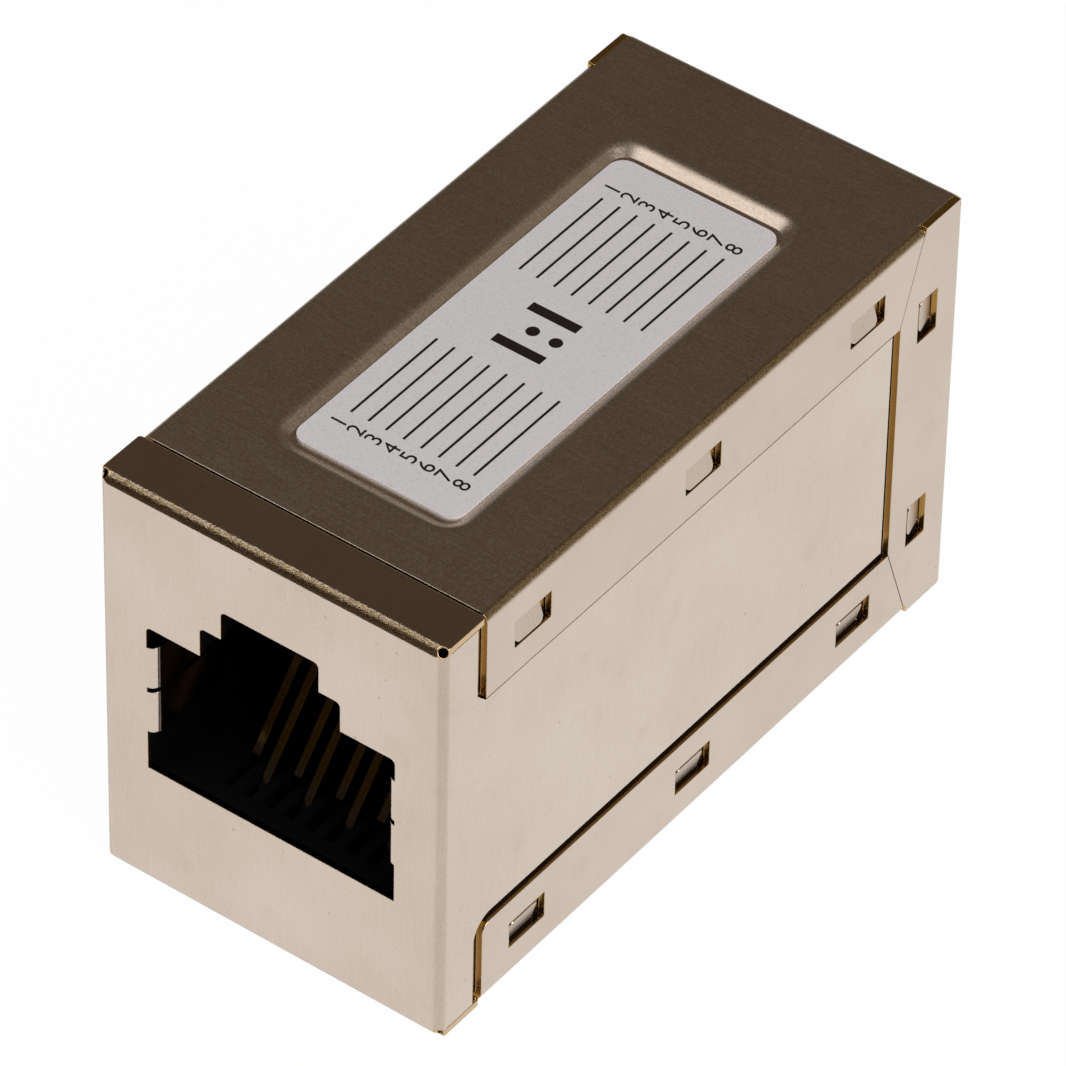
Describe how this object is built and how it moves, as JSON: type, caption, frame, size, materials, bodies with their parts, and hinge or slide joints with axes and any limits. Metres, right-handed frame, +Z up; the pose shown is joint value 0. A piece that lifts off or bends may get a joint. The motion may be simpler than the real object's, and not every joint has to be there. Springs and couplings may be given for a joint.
{
  "type": "rj45 inline coupler",
  "caption": "Shielded inline coupler with a modular socket at each end of a folded metal case, whose shells lock by side flaps and window tongues, with a sunken label field on top.",
  "frame": {"origin": "middle of the underside of the case", "axes": "+X across the case, +Y along the cable from the front socket to the rear socket, +Z up, the way the plugs' latches face"},
  "size_m": [0.0164, 0.0336, 0.0203],
  "materials": {
    "nickel_shell": "satin nickel plate",
    "label_film": "matt film",
    "board_laminate": "solder mask",
    "black_plastic": "moulded",
    "insert_plastic": "moulded",
    "contact_alloy": "gold flash"
  },
  "bodies": {
    "root": {"front_shell": "nickel_shell", "rear_shell": "nickel_shell", "label": "label_film", "circuit_board": "board_laminate", "front_jack_housing": "black_plastic", "front_contact_block": "insert_plastic", "rear_jack_housing": "black_plastic", "rear_contact_block": "insert_plastic", "front_contact_1": "contact_alloy", "front_contact_2": "contact_alloy", "front_contact_3": "contact_alloy", "front_contact_4": "contact_alloy", "front_contact_5": "contact_alloy", "front_contact_6": "contact_alloy", "front_contact_7": "contact_alloy", "front_contact_8": "contact_alloy", "rear_contact_1": "contact_alloy", "rear_contact_2": "contact_alloy", "rear_contact_3": "contact_alloy", "rear_contact_4": "contact_alloy", "rear_contact_5": "contact_alloy", "rear_contact_6": "contact_alloy", "rear_contact_7": "contact_alloy", "rear_contact_8": "contact_alloy"}
  },
  "joints": []
}
